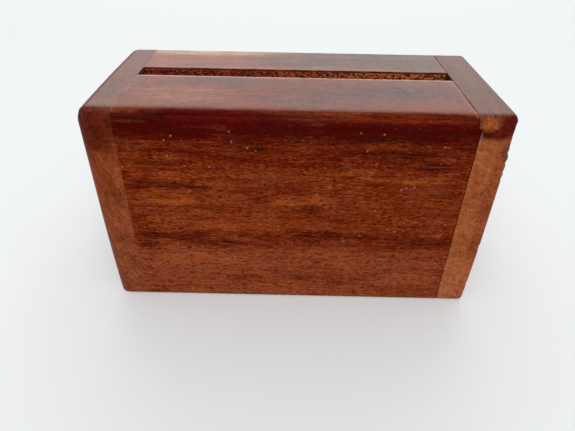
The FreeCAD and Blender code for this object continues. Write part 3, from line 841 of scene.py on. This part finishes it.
def sand_outside(points, shape):
    """Rounds the outer edges of the glued-up box, and lets its ends fall back from their middles."""
    radii = {
        ((0, 1), (0, 0)): shape.front_left,
        ((0, 1), (1, 0)): shape.front_right,
        ((0, 1), (0, 1)): shape.back_left,
        ((0, 1), (1, 1)): shape.back_right,
        ((0, 2), (0, 1)): shape.top_left,
        ((0, 2), (1, 1)): shape.top_right,
        ((0, 2), (0, 0)): shape.bottom,
        ((0, 2), (1, 0)): shape.bottom,
        ((1, 2), (0, 1)): shape.top_front,
        ((1, 2), (1, 1)): shape.top_back,
        ((1, 2), (0, 0)): shape.bottom,
        ((1, 2), (1, 0)): shape.bottom,
    }
    round_box(points, BOX_LOW, BOX_HIGH, radii)
    middle = (BOX_LOW + BOX_HIGH) / 2
    along, back, up = ((points - middle) / (BOX_HIGH - middle)).T
    flush = 0.85
    share = np.clip((np.abs(along) - flush) / (1.0 - flush), 0.0, 1.0)
    bow = np.where(along < 0.0, shape.left_bow, shape.right_bow)
    lean = np.where(up < 0.0, shape.bottom_fall, shape.top_fall)
    fall = lean * up**2 + bow * back**2
    points[:, 0] -= np.sign(along) * share * fall


def near_edges(points, low, high):
    """1 on a board's own edges, falling to 0 inside them."""
    gaps = np.sort(np.minimum(points - low, high - points), axis=1)
    return np.exp(-gaps[:, 1] / EDGE_FADE)


def add_object(name, data):
    """A new object in the scene."""
    item = bpy.data.objects.new(name, data)
    bpy.context.scene.collection.objects.link(item)
    return item


def shade(mesh, degrees):
    """Smooth shading, except over edges that turn by more than an angle."""
    mesh.polygons.foreach_set("use_smooth", np.ones(len(mesh.polygons), bool))
    mesh.set_sharp_from_angle(angle=math.radians(degrees))


def welded(mesh):
    """A working copy of a mesh with its doubles merged."""
    work = bmesh.new()
    work.from_mesh(mesh)
    bmesh.ops.remove_doubles(work, verts=work.verts, dist=WELD)
    return work


def new_piece(name, points, faces, marks):
    """A smooth-shaded mesh object with a value stored on each point for every mark."""
    mesh = bpy.data.meshes.new(name)
    mesh.from_pydata(points.tolist(), [], faces.tolist())
    for mark, values in marks.items():
        layer = mesh.attributes.new(mark, "FLOAT", "POINT")
        layer.data.foreach_set("value", np.asarray(values, np.float32))
    shade(mesh, 40.0)
    return add_object(name, mesh)


def stand_for(piece, node):
    """The piece takes a CAD node's place, body, finish slot and material."""
    slot = SLOT_OF[node]
    piece.data.materials.clear()
    piece.data.materials.append(finish_for(slot))
    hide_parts(node)
    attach(piece, BODY_OF[node])


def outer_board(node, work=None, arris=None, steps=None):
    """A board of the outside, meshed over its CAD size, then sanded with the rest of the box."""
    shape = settings().shape
    low, high = (np.array(corner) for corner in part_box(node))
    low = np.where(np.abs(low - BOX_LOW) < SNAP, BOX_LOW, low)
    high = np.where(np.abs(high - BOX_HIGH) < SNAP, BOX_HIGH, high)
    arris = arris or shape.arris
    steps = steps or (shape.board_step,) * 3
    points, faces = box_skin([stations(a, b, arris, step) for a, b, step in zip(low, high, steps)])
    marks = {"edge": near_edges(points, low, high), "sawn": np.zeros(len(points))}
    round_box(points, low, high, own_edges(arris))
    if work:
        work(points, marks, low, high)
    sand_outside(points, shape)
    stand_for(new_piece(node + "_finished", points, faces, marks), node)


def saw_wall(points, marks, wall_y, into, depth):
    """Marks the wall at wall_y as sawn, and cuts uneven marks into it."""
    on_wall = np.abs(points[:, 1] - wall_y) < 0.02 * MM
    fade = 0.5 * MM
    clean_lip = 0.35 * MM
    coarse_length, coarse_height = 0.9 * MM, 0.5 * MM
    fine_length, fine_height = 0.35 * MM, 0.3 * MM
    top = BOX_HIGH[2]
    bottom = points[:, 2].min()
    for index in np.flatnonzero(on_wall):
        x, _, z = points[index]
        clear = min(top - z, z - bottom) / fade
        coarse = noise.noise((x / coarse_length, 0.0, z / coarse_height))
        fine = noise.noise((x / fine_length, 7.0, z / fine_height))
        cut = max(0.0, 0.5 + 0.7 * coarse + 0.5 * fine) * min(1.0, max(0.0, clear))
        points[index, 1] += into * depth * cut
        marks["sawn"][index] = min(1.0, max(0.0, (top - clean_lip - z) / fade))


def chip_edge(points, chips):
    """Bruises and small chips along the front right edge: each is (height, half length, depth)."""
    right, front = BOX_HIGH[0], BOX_LOW[1]
    end_reach = 2.2 * MM
    front_reach = 2.6 * MM
    front_share = 0.6
    for height, half, depth in chips:
        away = np.abs(points[:, 2] - height) / half
        out = np.clip((points[:, 0] - (right - end_reach)) / end_reach, 0.0, 1.0)
        forward = np.clip(((front + front_reach) - points[:, 1]) / front_reach, 0.0, 1.0)
        push = depth * np.clip(1.0 - away**2, 0.0, 1.0) * out * forward
        points[:, 0] -= push
        points[:, 1] += push * front_share


def eased_copy(node):
    """A copy of a CAD node with its edges eased."""
    mesh = frame["nodes"][node].data.copy()
    mesh.name = node + "_finished"
    work = welded(mesh)
    bmesh.ops.dissolve_limit(work, angle_limit=FLAT, verts=work.verts, edges=work.edges)
    work.to_mesh(mesh)
    work.free()
    piece = add_object(node + "_finished", mesh)
    bevel = piece.modifiers.new("eased edges", "BEVEL")
    bevel.width = settings().shape.inner_arris
    bevel.segments = 2
    bevel.limit_method = "ANGLE"
    bevel.angle_limit = CORNER
    bake_modifiers(piece)
    shade(piece.data, 30.0)
    stand_for(piece, node)


def bake_modifiers(piece):
    """Turns a piece's evaluated shape into its plain mesh."""
    evaluated = piece.evaluated_get(bpy.context.evaluated_depsgraph_get())
    mesh = bpy.data.meshes.new_from_object(evaluated)
    piece.modifiers.clear()
    old, piece.data = piece.data, mesh
    name = old.name
    bpy.data.meshes.remove(old)
    mesh.name = name


# ---------------------------------------------------------------- repeated pieces


def rod_tree():
    """Geometry nodes: one rod with flutes and tapered ends on every point, along its direction."""
    if "turned_rods" in bpy.data.node_groups:
        return bpy.data.node_groups["turned_rods"]
    tree = bpy.data.node_groups.new("turned_rods", "GeometryNodeTree")
    tree.interface.new_socket("Geometry", in_out="INPUT", socket_type="NodeSocketGeometry")
    for label in ("Radius", "Length", "Taper", "Flute Depth"):
        tree.interface.new_socket(label, in_out="INPUT", socket_type="NodeSocketFloat")
    tree.interface.new_socket("Material", in_out="INPUT", socket_type="NodeSocketMaterial")
    tree.interface.new_socket("Geometry", in_out="OUTPUT", socket_type="NodeSocketGeometry")
    web = Web(tree)
    given = web.add("NodeGroupInput").outputs
    half = web.times(given["Length"], 0.5)
    shoulder = web.minus(half, given["Taper"])
    heights = (web.times(half, -1.0), web.times(shoulder, -1.0), shoulder, half)
    line = web.add("GeometryNodeMeshLine", {"Count": len(heights)}).outputs[0]
    index = web.add("GeometryNodeInputIndex").outputs[0]
    chosen = web.add("GeometryNodeIndexSwitch", {"Index": index}, data_type="FLOAT")
    while len(chosen.index_switch_items) < len(heights):
        chosen.index_switch_items.new()
    for socket, value in zip(chosen.inputs[1:], heights):
        web.feed(socket, value)
    lifted = web.axes(0.0, 0.0, chosen.outputs[0])
    placed = web.add("GeometryNodeSetPosition", {"Geometry": line, "Position": lifted}).outputs[0]
    curve = web.add("GeometryNodeMeshToCurve", {"Mesh": placed}).outputs[0]
    first = web.math("COMPARE", index, 0.0, 0.1)
    last = web.math("COMPARE", index, float(len(heights) - 1), 0.1)
    slim = web.times(web.math("DIVIDE", given["Taper"], given["Radius"]), 0.6)
    scale = web.minus(1.0, web.times(web.math("MAXIMUM", first, last), slim))
    sized = web.add("GeometryNodeSetCurveRadius", {"Curve": curve, "Radius": scale}).outputs[0]
    flutes = {
        "Points": 16,
        "Inner Radius": web.minus(given["Radius"], given["Flute Depth"]),
        "Outer Radius": given["Radius"],
    }
    star = web.add("GeometryNodeCurveStar", flutes).outputs[0]
    sweep = web.add("GeometryNodeCurveToMesh", {"Curve": sized, "Profile Curve": star, "Fill Caps": True})
    if "Scale" in sweep.inputs:
        web.feed(sweep.inputs["Scale"], scale)
    way = web.add("GeometryNodeInputNamedAttribute", {"Name": "direction"}, data_type="FLOAT_VECTOR")
    turn = web.add("FunctionNodeAlignRotationToVector", {"Vector": way.outputs["Attribute"]}, axis="Z")
    spread = {"Points": given["Geometry"], "Instance": sweep.outputs[0], "Rotation": turn.outputs[0]}
    laid = web.add("GeometryNodeInstanceOnPoints", spread).outputs[0]
    real = web.add("GeometryNodeRealizeInstances", {"Geometry": laid}).outputs[0]
    painted = web.add("GeometryNodeSetMaterial", {"Geometry": real, "Material": given["Material"]})
    web.add("NodeGroupOutput", {"Geometry": painted.outputs[0]})
    return tree


def islands(node):
    """The lowest and highest corners of each separate solid of a CAD node."""
    work = welded(frame["nodes"][node].data)
    waiting = set(work.verts)
    found = []
    while waiting:
        edge = [waiting.pop()]
        held = []
        while edge:
            vert = edge.pop()
            held.append(vert.co[:])
            near = {other for link in vert.link_edges for other in link.verts} & waiting
            waiting -= near
            edge.extend(near)
        held = np.array(held)
        found.append((held.min(0), held.max(0)))
    work.free()
    return sorted(found, key=lambda pair: tuple(pair[0]))


def rods(node, taper, flute=0.0):
    """Rods for every solid of a CAD node: dowels, brads or pins."""
    solids = islands(node)
    spans = np.array([high - low for low, high in solids])
    centres = np.array([(low + high) / 2 for low, high in solids])
    ways = np.eye(3)[spans.argmax(1)]
    mesh = bpy.data.meshes.new(node + "_finished")
    mesh.from_pydata(centres.tolist(), [], [])
    layer = mesh.attributes.new("direction", "FLOAT_VECTOR", "POINT")
    layer.data.foreach_set("vector", ways.astype(np.float32).ravel())
    piece = add_object(node + "_finished", mesh)
    modifier = piece.modifiers.new("turned rods", "NODES")
    modifier.node_group = rod_tree()
    values = {
        "Radius": float(spans[0].min() / 2),
        "Length": float(spans[0].max()),
        "Taper": taper,
        "Flute Depth": flute,
        "Material": finish_for(SLOT_OF[node]),
    }
    set_inputs(modifier, values)
    bake_modifiers(piece)
    tidy_mesh(piece.data)
    stand_for(piece, node)


def set_inputs(modifier, values):
    """Sets a geometry nodes modifier's inputs through their identifiers."""
    for item in modifier.node_group.interface.items_tree:
        if item.item_type == "SOCKET" and item.in_out == "INPUT" and item.name in values:
            modifier[item.identifier] = values[item.name]


def tidy_mesh(mesh):
    """Merges doubles, points all faces outwards, and shades by angle."""
    work = welded(mesh)
    bmesh.ops.recalc_face_normals(work, faces=work.faces)
    work.to_mesh(mesh)
    work.free()
    shade(mesh, 35.0)


# ---------------------------------------------------------------- operators


class PUZZLEBOX_OT_panels(bpy.types.Operator):
    """Make the front and back panels"""

    bl_idname = "puzzlebox.panels"
    bl_label = "Panels"
    bl_options = {"REGISTER", "UNDO"}

    def execute(self, context):
        for node in ("front_panel", "back_panel"):
            outer_board(node)
        return {"FINISHED"}


class PUZZLEBOX_OT_end_boards(bpy.types.Operator):
    """Make the left end board and the drawer's right end board"""

    bl_idname = "puzzlebox.end_boards"
    bl_label = "End boards"
    bl_options = {"REGISTER", "UNDO"}

    def execute(self, context):
        outer_board("left_end_board")
        steps = (0.6 * MM, 0.8 * MM, 0.35 * MM)
        # Height, half length and depth of each small chip, in millimetres.
        chips = (
            (53.4, 2.4, 0.42), (52.2, 0.7, 0.30), (49.4, 0.8, 0.36), (46.9, 0.5, 0.26), (44.6, 0.7, 0.20),
            (21.0, 1.4, 0.20), (7.0, 0.8, 0.25),
        )
        worn = [WORN_CORNER] + [tuple(part * MM for part in chip) for chip in chips]

        def wear(points, marks, low, high):
            """Chips the board's front right edge."""
            chip_edge(points, worn)

        outer_board("right_end_board", work=wear, steps=steps)
        return {"FINISHED"}


class PUZZLEBOX_OT_end_caps(bpy.types.Operator):
    """Make the two ends of the top layer"""

    bl_idname = "puzzlebox.end_caps"
    bl_label = "Top end caps"
    bl_options = {"REGISTER", "UNDO"}

    def execute(self, context):
        steps = (0.5 * MM, 0.7 * MM, 0.3 * MM)
        outer_board("left_end_cap", steps=steps)
        overlap_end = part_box("right_end_board")[0].x
        relief = 0.15 * MM

        def relieve(points, marks, low, high):
            """Lifts the underside of the lip that lies over the panels, and wears the corner."""
            lip = (points[:, 0] < overlap_end) & (points[:, 2] < low[2] + relief)
            points[lip, 2] = low[2] + relief
            chip_edge(points, [WORN_CORNER])

        outer_board("right_end_cap", work=relieve, arris=settings().shape.open_arris, steps=steps)
        return {"FINISHED"}


class PUZZLEBOX_OT_top_strips(bpy.types.Operator):
    """Make the two strips of the top, with rough-sawn walls where they face the slot"""

    bl_idname = "puzzlebox.top_strips"
    bl_label = "Top strips"
    bl_options = {"REGISTER", "UNDO"}

    def execute(self, context):
        shape = settings().shape
        steps = (shape.wall_step, 1.1 * MM, 0.18 * MM)

        def saw_front(points, marks, low, high):
            """Saws the front strip's back wall."""
            saw_wall(points, marks, high[1], -1.0, shape.saw_depth)

        def saw_back(points, marks, low, high):
            """Saws the back strip's front wall."""
            saw_wall(points, marks, low[1], 1.0, shape.saw_depth)

        outer_board("front_top_strip", work=saw_front, steps=steps)
        outer_board("back_top_strip", work=saw_back, steps=steps)
        return {"FINISHED"}


class PUZZLEBOX_OT_bottom(bpy.types.Operator):
    """Make the bottom board with its two pin bores"""

    bl_idname = "puzzlebox.bottom"
    bl_label = "Bottom board"
    bl_options = {"REGISTER", "UNDO"}

    def execute(self, context):
        eased_copy("bottom_board")
        return {"FINISHED"}


class PUZZLEBOX_OT_drawer(bpy.types.Operator):
    """Make the hidden drawer's floor, sides and inner end"""

    bl_idname = "puzzlebox.drawer"
    bl_label = "Drawer"
    bl_options = {"REGISTER", "UNDO"}

    def execute(self, context):
        for node in ("drawer_floor", "drawer_front_side", "drawer_back_side", "drawer_inner_end"):
            eased_copy(node)
        return {"FINISHED"}


class PUZZLEBOX_OT_guides(bpy.types.Operator):
    """Make the drawer guides and the stop block"""

    bl_idname = "puzzlebox.guides"
    bl_label = "Guides and stop"
    bl_options = {"REGISTER", "UNDO"}

    def execute(self, context):
        for node in ("front_drawer_guide", "back_drawer_guide", "drawer_stop_block"):
            eased_copy(node)
        return {"FINISHED"}


class PUZZLEBOX_OT_rods(bpy.types.Operator):
    """Make the dowels, the drawer's brads and the two locking pins"""

    bl_idname = "puzzlebox.rods"
    bl_label = "Dowels, brads and pins"
    bl_options = {"REGISTER", "UNDO"}

    def execute(self, context):
        rods("corner_dowels", taper=0.4 * MM, flute=0.12 * MM)
        rods("drawer_brads", taper=0.15 * MM)
        rods("front_lock_pin", taper=0.4 * MM)
        rods("back_lock_pin", taper=0.4 * MM)
        return {"FINISHED"}


class PUZZLEBOX_OT_stage(bpy.types.Operator):
    """Make the floor, the lights and the camera"""

    bl_idname = "puzzlebox.stage"
    bl_label = "Stage"
    bl_options = {"REGISTER", "UNDO"}

    def execute(self, context):
        stage = settings().stage
        make_floor(stage)
        make_world(stage)
        behind, above_front = (0.0, 1.15, 0.75), (0.0, -0.9, 0.9)
        cool_white, near_white = (0.96, 0.98, 1.0), (0.98, 0.99, 1.0)
        soft_light("back_window", behind, (1.9, 0.95), stage.window_power, cool_white)
        soft_light("front_fill", above_front, (1.2, 0.8), stage.fill_power, near_white)
        make_camera(stage)
        return {"FINISHED"}


def make_floor(stage):
    """A plain pale floor."""
    mesh = bpy.data.meshes.new("floor")
    reach = stage.floor_reach
    corners = [(-reach, -reach, 0), (reach, -reach, 0), (reach, reach, 0), (-reach, reach, 0)]
    mesh.from_pydata(corners, [], [(0, 1, 2, 3)])
    floor = add_object("floor", mesh)
    material = bpy.data.materials.new("pale_floor")
    material.use_nodes = True
    shader = material.node_tree.nodes["Principled BSDF"]
    shader.inputs["Base Color"].default_value = (*stage.floor_colour, 1.0)
    shader.inputs["Roughness"].default_value = 0.7
    shader.inputs["Specular IOR Level"].default_value = 0.05
    mesh.materials.append(material)


def make_world(stage):
    """Pale surroundings."""
    world = bpy.data.worlds.new("pale_room")
    world.use_nodes = True
    background = world.node_tree.nodes["Background"]
    background.inputs["Color"].default_value = (*stage.sky_colour, 1.0)
    background.inputs["Strength"].default_value = stage.sky_strength
    bpy.context.scene.world = world
    bpy.context.scene.view_settings.view_transform = "Standard"


def soft_light(name, place, size, power, tint):
    """A large soft light that faces the box."""
    data = bpy.data.lights.new(name, "AREA")
    data.shape = "RECTANGLE"
    data.size, data.size_y = size
    data.energy = power
    data.color = tint
    light = add_object(name, data)
    light.location = place
    middle = Vector((BOX_LOW + BOX_HIGH) / 2)
    light.rotation_mode = "QUATERNION"
    light.rotation_quaternion = (middle - light.location).to_track_quat("-Z", "Y")


def make_camera(stage):
    """The camera, standing in front of the box and looking down on it."""
    data = bpy.data.cameras.new("camera")
    data.lens = stage.lens
    data.sensor_width = 36.0
    data.clip_start = 5.0 * MM
    data.clip_end = 20.0
    camera = add_object("camera", data)
    turn = Matrix.Rotation(stage.yaw, 4, "Z") @ Matrix.Rotation(-stage.pitch, 4, "X")
    turn = turn @ Matrix.Rotation(stage.roll, 4, "Y") @ Matrix.Rotation(math.radians(90.0), 4, "X")
    place = Matrix.Translation((stage.camera_side, stage.camera_back, stage.camera_height))
    camera.matrix_world = place @ turn
    bpy.context.scene.camera = camera


OPERATORS = (
    PUZZLEBOX_OT_panels,
    PUZZLEBOX_OT_end_boards,
    PUZZLEBOX_OT_end_caps,
    PUZZLEBOX_OT_top_strips,
    PUZZLEBOX_OT_bottom,
    PUZZLEBOX_OT_drawer,
    PUZZLEBOX_OT_guides,
    PUZZLEBOX_OT_rods,
    PUZZLEBOX_OT_stage,
)


class PUZZLEBOX_PT_sidebar(bpy.types.Panel):
    """Lists the steps that make the box"""

    bl_label = "Puzzle Box"
    bl_idname = "PUZZLEBOX_PT_sidebar"
    bl_space_type = "VIEW_3D"
    bl_region_type = "UI"
    bl_category = "Puzzle Box"

    def draw(self, context):
        for operator in OPERATORS:
            self.layout.operator(operator.bl_idname)


CLASSES = (
    PUZZLEBOX_PG_shape,
    PUZZLEBOX_PG_stage,
    *TIMBER_CLASSES.values(),
    PUZZLEBOX_PG_finishes,
    PUZZLEBOX_PG_settings,
    *OPERATORS,
    PUZZLEBOX_PT_sidebar,
)


def register():
    """Registers the classes and the scene's settings."""
    for item in CLASSES:
        bpy.utils.register_class(item)
    bpy.types.Scene.puzzle_box = bpy.props.PointerProperty(type=PUZZLEBOX_PG_settings)


def unregister():
    """Takes everything back out."""
    del bpy.types.Scene.puzzle_box
    for item in reversed(CLASSES):
        bpy.utils.unregister_class(item)


def main():
    """Makes the whole box and notes its size beside the CAD's."""
    register()
    for operator in OPERATORS:
        family, step = operator.bl_idname.split(".")
        getattr(getattr(bpy.ops, family), step)()


if __name__ == "__main__":
    main()
